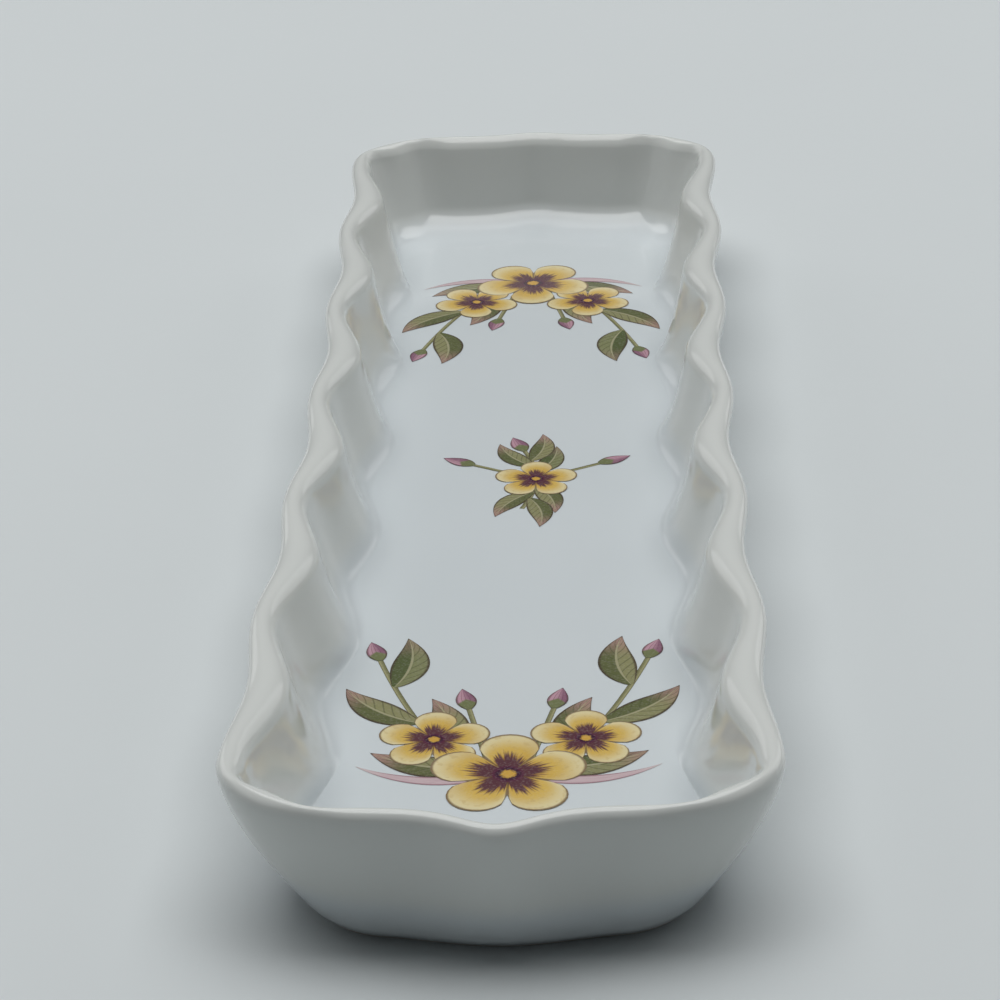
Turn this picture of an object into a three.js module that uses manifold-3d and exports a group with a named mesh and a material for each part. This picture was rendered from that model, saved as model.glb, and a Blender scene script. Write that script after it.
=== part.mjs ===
// Porcelain trinket tray: a fluted casting with three printed transfers on its floor.
// Millimetres, +Z up, +Y along the tray, origin under the middle of the foot.
import * as THREE from "three";
import { mergeVertices } from "three/addons/utils/BufferGeometryUtils.js";
import Module from "manifold-3d";

const wasm = await Module();
wasm.setup();

// Overall size.
const TRAY_WIDTH = 78;
const TRAY_LENGTH = 298.5;
const TRAY_HEIGHT = 23.8;

// Rim outline.
const LOBES_PER_QUARTER = 3;
const CORNER_SWELL = 1.6;
const OUTSIDE_SCALLOP = 0.85;
const INSIDE_SCALLOP = 1.95;
const RIM_CORNER_ACROSS = 21.6;
const RIM_CORNER_ALONG = 16.75;
const END_POINT = 3.7;
const END_POINT_REACH = 7;
const END_DIP = 0.5;
const CORNER_FLUTES = 2;
const CORNER_FLUTE_DEPTH = 1.2;

// Wall section.
const LIP_INSIDE_ROUND = 2.4;
const LIP_OUTSIDE_ROUND = 1.6;
const FLOOR_TOP = 4.8;
const INSIDE_RUN_ACROSS = 7.4;
const INSIDE_RUN_ALONG = 16.4;
const OUTSIDE_RUN_ACROSS = 10;
const OUTSIDE_RUN_ALONG = 7.1;
const SIDE_COVE_POWER = 2.2;
const END_COVE_REACH = 12.6;
const END_COVE_RISE = 6;
const WALL_BELLY_POWER = 1.5;

// Floor and foot.
const FLOOR_CORNER_ACROSS = 13;
const FLOOR_CORNER_ALONG = 12;
const FLOOR_SCALLOP = 1.5;
const FLOOR_SWELL = 1;
const FLOOR_POINT = 4.6;
const FLOOR_FLUTE_DEPTH = 0.3;
const FOOT_CORNER_ACROSS = 12.2;
const FOOT_CORNER_ALONG = 15.2;
const FOOT_SCALLOP = 0.5;
const FOOT_POINT = 4;
const FOOT_POINT_REACH = 14.8;
const FOOT_HEIGHT = 1;
const FOOT_INSET = 1.2;
const FOOT_FACE = 2.6;
const FOOT_RECESS = 1;

// Printed transfers: film, places on the floor and stems.
const PRINT_THICKNESS = 0.12;
const PRINT_MARGIN = 0.3;
const SPRAY_FROM_FLOOR_END = 36.15;
const SPRAY_SPAN = 21.2;
const SPRAY_RISE = 22.8;
const SPRAY_SAG = 50;
const SPRIG_FROM_MIDDLE = 3;
const SPRIG_HALF_LENGTH = 12.5;
const SPRIG_BOW = 4.6;
const STALK_WIDTH = 0.9;

// Motifs of the sprays and of the sprig.
const MAIN_BLOSSOM_RADIUS = 12;
const SIDE_BLOSSOM_RADIUS = 8.7;
const SPRIG_BLOSSOM_RADIUS = 7.6;
const SPRAY_LEAF_LENGTH = 16.4;
const SPRAY_LEAF_WIDTH = 6.4;
const SPRIG_LEAF_LENGTH = 12;
const SPRIG_LEAF_WIDTH = 4.8;
const BUD_LENGTH = 6.6;
const BUD_WIDTH = 3.6;
const SPRAY_BUD_STALK = 20;
const SPRIG_BUD_STALK = 13;
const RIBBON_LENGTH = 21.2;
const RIBBON_WIDTH = 2.7;

// Counts, places along a stem as shares of it, and angles in radians.
const PETALS = 5;
const PETAL_ROOT_SHARE = 0.5;
const SPRAY_LEAVES = 4;
const SPRIG_LEAVES = 3;
const STEM_MIDDLE_SHARE = 0.5;
const LEAF_START_SHARE = 0.12;
const LEAF_STEP_SHARE = 0.105;
const SIDE_BLOSSOM_SHARE = 0.27;
const BUD_STALK_SHARE = 0.06;
const RIBBON_SHARE = 0.04;
const LEAF_SPREAD_ANGLE = 0.8;
const LEAF_BEND_ANGLE = 0.4;
const SPRAY_BUD_LEAN_ANGLE = 0.2;
const SPRIG_BUD_LEAN_ANGLE = 1.05;
const RIBBON_DROP_ANGLE = 0.48;
const RIBBON_BEND_ANGLE = 0.6;

// Steps of the curves.
const STEPS_PER_LOBE = 8;
const CORNER_STEPS = 12;
const END_STEPS = 9;
const WALL_STEPS = 5;
const INSIDE_STEPS = 8;
const INSIDE_SPACING_POWER = 2.5;
const LIP_STEPS = 6;
const BLADE_STEPS = 6;
const STALK_STEPS = 10;
const BLOSSOM_STEPS = 40;

// The rim's whole thickness and the depth of the inside below its rounded lip.
const rimThickness = LIP_INSIDE_ROUND + LIP_OUTSIDE_ROUND;
const insideDepth = TRAY_HEIGHT - LIP_INSIDE_ROUND - FLOOR_TOP;

// The outlines at four levels of the wall. width and length are half sizes at the corner lobes.
const rimOutside = {
  width: TRAY_WIDTH / 2,
  length: TRAY_LENGTH / 2 - END_POINT,
  across: RIM_CORNER_ACROSS,
  along: RIM_CORNER_ALONG,
  scallop: OUTSIDE_SCALLOP,
  swell: CORNER_SWELL,
  point: END_POINT,
  reach: END_POINT_REACH,
  dip: END_DIP,
  flute: 0,
};
const rimInside = {
  ...inset(rimOutside, rimThickness),
  scallop: INSIDE_SCALLOP,
  flute: CORNER_FLUTE_DEPTH,
};
const floorEdge = {
  ...rimInside,
  width: rimInside.width - INSIDE_RUN_ACROSS,
  length: rimInside.length - INSIDE_RUN_ALONG,
  across: FLOOR_CORNER_ACROSS,
  along: FLOOR_CORNER_ALONG,
  scallop: FLOOR_SCALLOP,
  swell: FLOOR_SWELL,
  point: FLOOR_POINT,
  dip: 0,
  flute: FLOOR_FLUTE_DEPTH,
};
const wallFoot = {
  ...rimOutside,
  width: rimOutside.width - OUTSIDE_RUN_ACROSS,
  length: rimOutside.length - OUTSIDE_RUN_ALONG,
  across: FOOT_CORNER_ACROSS,
  along: FOOT_CORNER_ALONG,
  scallop: FOOT_SCALLOP,
  point: FOOT_POINT,
  reach: FOOT_POINT_REACH,
  dip: 0,
};

// An outline drawn in by the same distance all round.
function inset(outline, distance) {
  return {
    ...outline,
    width: outline.width - distance,
    length: outline.length - distance,
    across: outline.across - distance,
    along: outline.along - distance,
  };
}

// The outline a share of the way from one to another.
function between(from, to, share) {
  const mixed = {};
  for (const key of Object.keys(from)) mixed[key] = THREE.MathUtils.lerp(from[key], to[key], share);
  return mixed;
}

// How far an end's inside has run out at a share of its depth, as a share of its whole run.
// It is an elliptic cove, then a straight wall that leaves the cove along its tangent.
function endRunShare(rise) {
  const squeezedRun = (INSIDE_RUN_ALONG * END_COVE_RISE) / END_COVE_REACH;
  const tangent = Math.sqrt(squeezedRun ** 2 + insideDepth ** 2 - 2 * insideDepth * END_COVE_RISE);
  const bend = Math.atan2(insideDepth - END_COVE_RISE, squeezedRun) + Math.atan2(END_COVE_RISE, tangent);
  const bendRun = END_COVE_REACH * Math.sin(bend);
  const bendHeight = END_COVE_RISE * (1 - Math.cos(bend));
  const height = insideDepth * rise;
  if (height < bendHeight) {
    const angle = Math.acos(1 - height / END_COVE_RISE);
    return (END_COVE_REACH * Math.sin(angle)) / INSIDE_RUN_ALONG;
  }
  const wallShare = (height - bendHeight) / (insideDepth - bendHeight);
  return THREE.MathUtils.lerp(bendRun, INSIDE_RUN_ALONG, wallShare) / INSIDE_RUN_ALONG;
}

// The inside of the wall at a share of its depth, 0 at the floor and 1 at the rim.
// Along the sides the cove follows a power law, and the ends have their own curve.
function insideOutline(rise) {
  const sides = between(floorEdge, rimInside, rise ** (1 / SIDE_COVE_POWER));
  const ends = between(floorEdge, rimInside, endRunShare(rise));
  return { ...sides, length: ends.length, along: ends.along, point: ends.point, dip: rimInside.dip * rise };
}

// The bell curve of an end's point and dip at a distance across the tray, 1 at the middle.
function bell(outline, across) {
  return 1 / Math.cosh(across / outline.reach) ** 2;
}

// One quarter of a ring, from the middle of a long side to the middle of an end.
// The side is a cosine wave of lobes on a swelling line, the corner an elliptic quarter turn
// pressed out by flutes that follow a squared sine.
function quarterRing(outline) {
  const points = [];
  const sideEnd = outline.length - outline.along;
  const sideSteps = LOBES_PER_QUARTER * STEPS_PER_LOBE;
  for (let i = 0; i < sideSteps; i++) {
    const share = i / sideSteps;
    const waist = (outline.swell * (1 + Math.cos(Math.PI * share))) / 2;
    const fold = outline.scallop * (1 - Math.cos(2 * Math.PI * LOBES_PER_QUARTER * share));
    points.push([outline.width - waist - fold, sideEnd * share]);
  }
  const cornerX = outline.width - outline.across;
  for (let i = 0; i < CORNER_STEPS; i++) {
    const angle = (Math.PI / 2) * (i / CORNER_STEPS);
    const flute = outline.flute * Math.sin(2 * CORNER_FLUTES * angle) ** 2;
    const x = cornerX + (outline.across + flute) * Math.cos(angle);
    const y = sideEnd + (outline.along + flute) * Math.sin(angle);
    points.push([x, y + outline.point * bell(outline, x)]);
  }
  for (let i = 0; i <= END_STEPS; i++) {
    const x = cornerX * (1 - i / END_STEPS);
    points.push([x, outline.length + outline.point * bell(outline, x)]);
  }
  return points;
}

// The whole ring, anticlockwise seen from above, at one height less the dip of its ends.
function ring(outline, height) {
  const first = quarterRing(outline);
  const second = first.slice(1, -1).reverse().map(([x, y]) => [-x, y]);
  const half = [...first, ...second];
  const turned = half.map(([x, y]) => [-x, -y]);
  const whole = [...half, ...turned];
  return whole.map(([x, y]) => new THREE.Vector3(x, y, height - outline.dip * bell(outline, x)));
}

// Triangles of a flat cap on a ring: a ladder of strips between the points that mirror each other across x.
function capTriangles(count) {
  const quarter = count / 4;
  const triangles = [];
  for (let i = -quarter; i < quarter; i++) {
    const right = (i + count) % count;
    const nextRight = (i + 1 + count) % count;
    const left = 2 * quarter - i;
    const nextLeft = left - 1;
    if (right !== left) triangles.push([right, nextRight, left]);
    if (nextRight !== nextLeft) triangles.push([nextRight, nextLeft, left]);
  }
  return triangles;
}

// A closed body swept through the rings in turn, with flat caps on the first and the last.
function loft(rings) {
  const count = rings[0].length;
  const last = (rings.length - 1) * count;
  const index = [];
  for (let i = 0; i < count; i++) {
    const next = (i + 1) % count;
    for (let row = 0; row < last; row += count) {
      index.push(row + i, row + count + i, row + count + next);
      index.push(row + i, row + count + next, row + next);
    }
  }
  for (const [a, b, c] of capTriangles(count)) {
    index.push(a, b, c);
    index.push(last + a, last + c, last + b);
  }
  return new THREE.BufferGeometry().setFromPoints(rings.flat()).setIndex(index);
}

// The tray: floor, cove and inside wall, rounded lip, outside wall, foot ring and recess.
function trayGeometry() {
  const rings = [];
  for (let i = 0; i <= INSIDE_STEPS; i++) {
    const rise = (i / INSIDE_STEPS) ** INSIDE_SPACING_POWER;
    rings.push(ring(insideOutline(rise), FLOOR_TOP + insideDepth * rise));
  }
  for (let i = 1; i <= LIP_STEPS; i++) {
    const angle = Math.PI * (1 - i / LIP_STEPS);
    const round = angle > Math.PI / 2 ? LIP_INSIDE_ROUND : LIP_OUTSIDE_ROUND;
    const share = (LIP_INSIDE_ROUND + round * Math.cos(angle)) / rimThickness;
    rings.push(ring(between(rimInside, rimOutside, share), TRAY_HEIGHT - round * (1 - Math.sin(angle))));
  }
  const outsideTop = TRAY_HEIGHT - LIP_OUTSIDE_ROUND;
  for (let i = 1; i <= WALL_STEPS; i++) {
    const share = i / WALL_STEPS;
    const outline = between(rimOutside, wallFoot, share ** WALL_BELLY_POWER);
    rings.push(ring(outline, THREE.MathUtils.lerp(outsideTop, FOOT_HEIGHT, share)));
  }
  const footOutside = inset(wallFoot, FOOT_INSET);
  const footInside = inset(footOutside, FOOT_FACE);
  rings.push(ring(footOutside, FOOT_HEIGHT));
  rings.push(ring(footOutside, 0));
  rings.push(ring(footInside, 0));
  rings.push(ring(footInside, FOOT_RECESS));
  return loft(rings);
}

// A flat print solid from a closed outline, its underside on the tray floor.
function printSolid(points) {
  const shape = new THREE.Shape(points);
  const geometry = new THREE.ExtrudeGeometry(shape, { depth: PRINT_THICKNESS, bevelEnabled: false });
  geometry.translate(0, 0, FLOOR_TOP);
  geometry.deleteAttribute("normal");
  geometry.deleteAttribute("uv");
  const merged = mergeVertices(geometry);
  const mesh = new wasm.Mesh({
    numProp: 3,
    vertProperties: merged.attributes.position.array,
    triVerts: new Uint32Array(merged.index.array),
  });
  return new wasm.Manifold(mesh);
}

// The flat of the floor that print may cover, clear of the cove by a margin.
function printableFloor() {
  const edge = ring(inset(floorEdge, PRINT_MARGIN), FLOOR_TOP);
  return printSolid(edge.map((point) => new THREE.Vector2(point.x, point.y)));
}

// A point at a distance from another in the direction of an angle.
function pointFrom(root, angle, distance) {
  const way = new THREE.Vector2(Math.cos(angle), Math.sin(angle));
  return way.multiplyScalar(distance).add(root);
}

// A stalk drawn along a curve with an even width.
function stalkOutline(curve) {
  const left = [];
  const right = [];
  for (let i = 0; i <= STALK_STEPS; i++) {
    const middle = curve.getPoint(i / STALK_STEPS);
    const aside = curve.getTangent(i / STALK_STEPS).angle() + Math.PI / 2;
    left.push(pointFrom(middle, aside, STALK_WIDTH / 2));
    right.push(pointFrom(middle, aside, -STALK_WIDTH / 2));
  }
  return [...right, ...left.reverse()];
}

// A leaf, ribbon or bud: a bent spine from its root, widest half way and as thin as a stalk at both ends.
function bladeOutline(root, heading, length, width, bend) {
  const left = [];
  const right = [];
  for (let i = 0; i <= BLADE_STEPS; i++) {
    const share = i / BLADE_STEPS;
    const angle = heading + bend * share;
    const spine = pointFrom(root, angle, length * share);
    const aside = angle + Math.atan(bend * share) + Math.PI / 2;
    const half = (STALK_WIDTH + (width - STALK_WIDTH) * Math.sin(Math.PI * share)) / 2;
    left.push(pointFrom(spine, aside, half));
    right.push(pointFrom(spine, aside, -half));
  }
  return [...right, ...left.reverse()];
}

// A blossom of round petals about its centre, the first one pointing up the drawing.
function blossomOutline(centre, radius) {
  const points = [];
  for (let i = 0; i < BLOSSOM_STEPS; i++) {
    const angle = (2 * Math.PI * i) / BLOSSOM_STEPS;
    const lobe = Math.sqrt(Math.abs(Math.cos((PETALS / 2) * angle)));
    const reach = radius * THREE.MathUtils.lerp(PETAL_ROOT_SHARE, 1, lobe);
    points.push(pointFrom(centre, Math.PI / 2 + angle, reach));
  }
  return points;
}

// A bud at a place, turned to a heading.
function budOutline(root, heading) {
  return bladeOutline(root, heading, BUD_LENGTH, BUD_WIDTH, 0);
}

// A straight stalk with a bud at its end.
function stalkedBudOutlines(root, heading, length) {
  const end = pointFrom(root, heading, length);
  return [stalkOutline(new THREE.LineCurve(root, end)), budOutline(end, heading)];
}

// Leaves in a row out along both halves of a stem, by turns on its two sides.
function leafOutlines(stem, count, length, width) {
  const outlines = [];
  for (const half of [-1, 1]) {
    for (let i = 0; i < count; i++) {
      const share = STEM_MIDDLE_SHARE + half * (LEAF_START_SHARE + LEAF_STEP_SHARE * i);
      const side = i % 2 ? half : -half;
      const heading = stem.getTangent(share).multiplyScalar(half).angle() + side * LEAF_SPREAD_ANGLE;
      outlines.push(bladeOutline(stem.getPoint(share), heading, length, width, -side * LEAF_BEND_ANGLE));
    }
  }
  return outlines;
}

// The end spray: a hanging stem with three blossoms, leaves, two ribbons and four buds.
function sprayOutlines() {
  const stem = new THREE.QuadraticBezierCurve(
    new THREE.Vector2(-SPRAY_SPAN, SPRAY_RISE),
    new THREE.Vector2(0, -SPRAY_SAG),
    new THREE.Vector2(SPRAY_SPAN, SPRAY_RISE),
  );
  const upward = Math.PI / 2;
  const outlines = [stalkOutline(stem)];
  outlines.push(...leafOutlines(stem, SPRAY_LEAVES, SPRAY_LEAF_LENGTH, SPRAY_LEAF_WIDTH));
  outlines.push(blossomOutline(stem.getPoint(STEM_MIDDLE_SHARE), MAIN_BLOSSOM_RADIUS));
  for (const half of [-1, 1]) {
    const blossom = stem.getPoint(STEM_MIDDLE_SHARE + half * SIDE_BLOSSOM_SHARE);
    outlines.push(blossomOutline(blossom, SIDE_BLOSSOM_RADIUS));
    const tip = half < 0 ? 0 : 1;
    outlines.push(budOutline(stem.getPoint(tip), stem.getTangent(tip).multiplyScalar(half).angle()));
    const budRoot = stem.getPoint(STEM_MIDDLE_SHARE + half * BUD_STALK_SHARE);
    const budHeading = upward - half * SPRAY_BUD_LEAN_ANGLE;
    outlines.push(...stalkedBudOutlines(budRoot, budHeading, SPRAY_BUD_STALK));
    const ribbonRoot = stem.getPoint(STEM_MIDDLE_SHARE + half * RIBBON_SHARE);
    const ribbonHeading = upward - half * (Math.PI / 2 + RIBBON_DROP_ANGLE);
    const ribbonBend = half * RIBBON_BEND_ANGLE;
    outlines.push(bladeOutline(ribbonRoot, ribbonHeading, RIBBON_LENGTH, RIBBON_WIDTH, ribbonBend));
  }
  return outlines;
}

// The middle sprig: an upright bowed stem with one blossom, leaves on both halves and three buds.
function sprigOutlines() {
  const stem = new THREE.QuadraticBezierCurve(
    new THREE.Vector2(0, -SPRIG_HALF_LENGTH),
    new THREE.Vector2(SPRIG_BOW, 0),
    new THREE.Vector2(0, SPRIG_HALF_LENGTH),
  );
  const upward = Math.PI / 2;
  const middle = stem.getPoint(STEM_MIDDLE_SHARE);
  const outlines = [stalkOutline(stem)];
  outlines.push(...leafOutlines(stem, SPRIG_LEAVES, SPRIG_LEAF_LENGTH, SPRIG_LEAF_WIDTH));
  outlines.push(blossomOutline(middle, SPRIG_BLOSSOM_RADIUS));
  outlines.push(budOutline(stem.getPoint(1), stem.getTangent(1).angle()));
  for (const half of [-1, 1]) {
    const budHeading = upward - half * SPRIG_BUD_LEAN_ANGLE;
    outlines.push(...stalkedBudOutlines(middle, budHeading, SPRIG_BUD_STALK));
  }
  return outlines;
}

// One transfer: its outlines joined into a body, moved along the tray and kept to the flat of the floor.
// turn is 1 as drawn and -1 turned half round.
function transferGeometry(outlines, shift, turn) {
  let joined = null;
  for (const outline of outlines) {
    const solid = printSolid(outline.map((p) => new THREE.Vector2(p.x * turn, p.y * turn + shift)));
    joined = joined ? joined.add(solid) : solid;
  }
  const mesh = joined.intersect(printableFloor()).getMesh();
  const geometry = new THREE.BufferGeometry();
  geometry.setAttribute("position", new THREE.BufferAttribute(mesh.vertProperties, mesh.numProp));
  return geometry.setIndex(new THREE.BufferAttribute(mesh.triVerts, 1));
}

// Adds a named piece to the tray.
function addPiece(tray, name, geometry, color, roughness) {
  const material = new THREE.MeshStandardMaterial({ color, roughness, metalness: 0 });
  const mesh = new THREE.Mesh(geometry, material);
  mesh.name = name;
  tray.add(mesh);
}

const GLAZE_COLOUR = 0xe6ecea;
const GLAZE_ROUGHNESS = 0.12;
const SPRAY_COLOUR = 0xc9a03c;
const SPRIG_COLOUR = 0x7b8550;
const PRINT_ROUGHNESS = 0.2;

const sprayShift = floorEdge.length - SPRAY_FROM_FLOOR_END;
const nearSpray = transferGeometry(sprayOutlines(), -sprayShift, 1);
const farSpray = transferGeometry(sprayOutlines(), sprayShift, -1);
const middleSprig = transferGeometry(sprigOutlines(), SPRIG_FROM_MIDDLE, 1);

const tray = new THREE.Group();
addPiece(tray, "tray_body", trayGeometry(), GLAZE_COLOUR, GLAZE_ROUGHNESS);
addPiece(tray, "near_spray_transfer", nearSpray, SPRAY_COLOUR, PRINT_ROUGHNESS);
addPiece(tray, "middle_sprig_transfer", middleSprig, SPRIG_COLOUR, PRINT_ROUGHNESS);
addPiece(tray, "far_spray_transfer", farSpray, SPRAY_COLOUR, PRINT_ROUGHNESS);

export default tray;
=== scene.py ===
import math

import bpy
import numpy as np
from mathutils import Matrix


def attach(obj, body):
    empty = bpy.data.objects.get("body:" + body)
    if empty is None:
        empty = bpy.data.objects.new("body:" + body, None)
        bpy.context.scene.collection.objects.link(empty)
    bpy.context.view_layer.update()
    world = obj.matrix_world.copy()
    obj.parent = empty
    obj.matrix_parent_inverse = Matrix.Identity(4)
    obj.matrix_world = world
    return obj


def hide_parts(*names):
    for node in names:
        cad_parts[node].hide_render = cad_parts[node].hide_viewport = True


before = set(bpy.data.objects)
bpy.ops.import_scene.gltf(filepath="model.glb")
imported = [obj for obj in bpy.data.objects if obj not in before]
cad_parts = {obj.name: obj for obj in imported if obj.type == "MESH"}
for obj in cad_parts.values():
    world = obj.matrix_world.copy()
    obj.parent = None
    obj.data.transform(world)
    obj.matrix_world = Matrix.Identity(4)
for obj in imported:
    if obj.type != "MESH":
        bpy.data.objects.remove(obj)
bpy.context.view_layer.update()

# Sizes are in metres, in the frame of the part.
MM = 0.001


def colour(red, green, blue):
    """An opaque colour in linear light."""
    return (red, green, blue, 1.0)


# Rim, floor and foot outlines of the tray: half sizes, corner sizes and the swing of the edge.
RIM_OUTSIDE = {
    "width": 39 * MM,
    "length": 145.55 * MM,
    "across": 21.6 * MM,
    "along": 16.75 * MM,
    "scallop": 0.85 * MM,
    "swell": 1.6 * MM,
    "point": 3.7 * MM,
    "reach": 7 * MM,
    "dip": 0.5 * MM,
    "flute": 0,
}
LIP_INSIDE_ROUND = 2.4 * MM
LIP_OUTSIDE_ROUND = 1.6 * MM
END_LIP_POWER = 1.3
INSIDE_SCALLOP = 1.95 * MM
CORNER_FLUTES = 2
CORNER_FLUTE_DEPTH = 1.2 * MM
FLOOR_EDGE = {
    "width": 27.6 * MM,
    "length": 125.15 * MM,
    "across": 13 * MM,
    "along": 12 * MM,
    "scallop": 1.5 * MM,
    "swell": 1 * MM,
    "point": 4.6 * MM,
    "reach": 7 * MM,
    "dip": 0,
    "flute": 0.3 * MM,
}
WALL_FOOT = {
    "width": 29 * MM,
    "length": 138.45 * MM,
    "across": 12.2 * MM,
    "along": 15.2 * MM,
    "scallop": 0.5 * MM,
    "swell": 1.6 * MM,
    "point": 4 * MM,
    "reach": 14.8 * MM,
    "dip": 0,
    "flute": 0,
}
LOBES_PER_QUARTER = 3
TRAY_HEIGHT = 23.8 * MM
FLOOR_TOP = 4.8 * MM
SIDE_COVE_POWER = 2.2
END_COVE_REACH = 12.6 * MM
END_COVE_RISE = 6 * MM
WALL_BELLY_POWER = 1.5
FOOT_HEIGHT = 1 * MM
FOOT_INSET = 1.2 * MM
FOOT_FACE = 2.6 * MM
FOOT_RECESS = 1 * MM
WALL_EDGE_ROUND = 0.5 * MM
FOOT_EDGE_ROUND = 0.25 * MM
FLAT_BORDER = 0.4 * MM

# Fineness of the tray's surface.
SIDE_STEPS = 84
CORNER_STEPS = 48
END_STEPS = 36
INSIDE_STEPS = 48
INSIDE_SPACING_POWER = 2.5
LIP_STEPS = 20
OUTSIDE_STEPS = 30
EDGE_STEPS = 5

# Printed sprays: places on the floor, and sizes, counts, shares and angles of the motifs.
SPRAY_PLACE = 89 * MM
SPRIG_PLACE = 3 * MM
SPRAY_STEM = ((-21.2 * MM, 22.8 * MM), (0, -50 * MM), (21.2 * MM, 22.8 * MM))
SPRIG_STEM = ((0, -12.5 * MM), (4.6 * MM, 0), (0, 12.5 * MM))
STALK_WIDTH = 0.9 * MM
SPRAY_LEAF = (16.4 * MM, 6.4 * MM)
SPRIG_LEAF = (12 * MM, 4.8 * MM)
BUD = (6.6 * MM, 3.6 * MM)
RIBBON = (21.2 * MM, 2.7 * MM)
SPRAY_BUD_STALK = 20 * MM
SPRIG_BUD_STALK = 13 * MM
MAIN_BLOSSOM = 12 * MM
SIDE_BLOSSOM = 8.7 * MM
SPRIG_BLOSSOM = 7.6 * MM
SPRAY_LEAVES = 4
SPRIG_LEAVES = 3
PETALS = 5
PETAL_ROOT_SHARE = 0.5
PETAL_START_SHARE = 0.1
BLADE_TIP_SHARE = 0.08
BLADE_SWELL_POWER = 0.85
EYE_SHARE = 0.2
LEAF_START_SHARE = 0.12
LEAF_STEP_SHARE = 0.105
SIDE_BLOSSOM_SHARE = 0.27
BUD_STALK_SHARE = 0.06
RIBBON_SHARE = 0.04
LEAF_SPREAD_ANGLE = 0.8
LEAF_BEND_ANGLE = 0.4
SPRAY_BUD_LEAN_ANGLE = 0.2
SPRIG_BUD_LEAN_ANGLE = 1.05
RIBBON_DROP_ANGLE = 0.48
RIBBON_BEND_ANGLE = 0.6

# Heights of the printed layers above the floor, and the part of a whole number in u that a sheet covers.
STALK_LAYER = 0.03 * MM
RIBBON_LAYER = 0.04 * MM
LEAF_LAYER = 0.05 * MM
BUD_LAYER = 0.08 * MM
SIDE_PETAL_LAYER = 0.09 * MM
MAIN_PETAL_LAYER = 0.1 * MM
EYE_LAYER = 0.12 * MM
SHEET_STEP = 0.002 * MM
SHEET_SPAN = 0.999

# Colours of the glaze, the inks and the table. A pair holds the two ends of a mottled or varying tone.
# The glaze's tones: cooler and a little darker low down, as on the floor, and warmer higher up, on the
# walls and rim.
GLAZE_LOW_TONES = (colour(0.605, 0.657, 0.678), colour(0.64, 0.685, 0.707))
GLAZE_HIGH_TONES = (colour(0.635, 0.662, 0.642), colour(0.67, 0.692, 0.672))
GLAZE_PINHOLE = colour(0.2, 0.18, 0.16)
BARE_CLAY = (colour(0.56, 0.545, 0.51), colour(0.66, 0.645, 0.61))
INK_GRAIN = colour(0.62, 0.6, 0.55)
LEAF_LIGHT = (colour(0.215, 0.23, 0.115), colour(0.275, 0.265, 0.135))
LEAF_DARK = (colour(0.095, 0.12, 0.05), colour(0.135, 0.145, 0.065))
LEAF_TIP = colour(0.4, 0.24, 0.22)
LEAF_RIB = colour(0.09, 0.1, 0.05)
LEAF_SPINE = colour(0.42, 0.4, 0.25)
LEAF_LINE = colour(0.075, 0.055, 0.04)
PETAL_AMBER = colour(0.5, 0.27, 0.04)
PETAL_GOLD = colour(0.65, 0.445, 0.11)
PETAL_CREAM = colour(0.72, 0.63, 0.37)
PETAL_SHADE = colour(0.54, 0.33, 0.06)
PETAL_RAY = colour(0.07, 0.022, 0.06)
PETAL_FOLD = colour(0.52, 0.36, 0.14)
PETAL_LINE = colour(0.13, 0.075, 0.045)
EYE_DISC = colour(0.06, 0.022, 0.045)
EYE_HEART = colour(0.6, 0.36, 0.07)
EYE_RIM = colour(0.11, 0.035, 0.06)
BUD_PALE = colour(0.5, 0.3, 0.36)
BUD_DEEP = colour(0.26, 0.13, 0.19)
BUD_STROKE = colour(0.16, 0.06, 0.1)
BUD_CUP = colour(0.17, 0.19, 0.09)
BUD_LINE = colour(0.08, 0.05, 0.045)
RIBBON_WASH = (colour(0.5, 0.36, 0.39), colour(0.62, 0.5, 0.52))
RIBBON_EDGE = colour(0.34, 0.2, 0.23)
RIBBON_TAIL = colour(0.6, 0.55, 0.54)
STALK_TONES = (colour(0.2, 0.2, 0.1), colour(0.33, 0.32, 0.17))
STALK_LINE = colour(0.09, 0.08, 0.05)
TABLE_TONES = (colour(0.6, 0.64, 0.65), colour(0.62, 0.66, 0.67))

# The glaze: the heights over which it goes from its cool low tone to its warm high tone and from glazed to
# bare, its gloss, the scales of its noises and its pinholes.
GLAZE_TONE_HEIGHTS = (5.2 * MM, 10 * MM)
BARE_FOOT_HEIGHTS = (0.45 * MM, 0.15 * MM)
GLAZE_IOR = 1.5
GLAZE_ROUGHNESS = 0.1
GLAZE_ROUGHNESS_SPREAD = 0.05
BARE_CLAY_ROUGHNESS = 0.45
RIPPLE_STRENGTH = 0.12
RIPPLE_DEPTH = 0.2 * MM
CLOUD_SCALE = 28.0
GLOSS_SCALE = 60.0
RIPPLE_SCALE = 75.0
CLAY_GRAIN_SCALE = 900.0
PINHOLE_SCALE = 90.0
PINHOLE_EDGE = (0.03, 0.018)
PINHOLE_RARITY = (0.93, 0.95)
PINHOLE_SHARE = 0.7

# The table top's gloss and the scales of its noises.
TABLE_ROUGHNESS = 0.55
TABLE_ROUGHNESS_SPREAD = 0.1
TABLE_MOTTLE_SCALE = 9.0
TABLE_GRAIN_SCALE = 300.0

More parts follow.
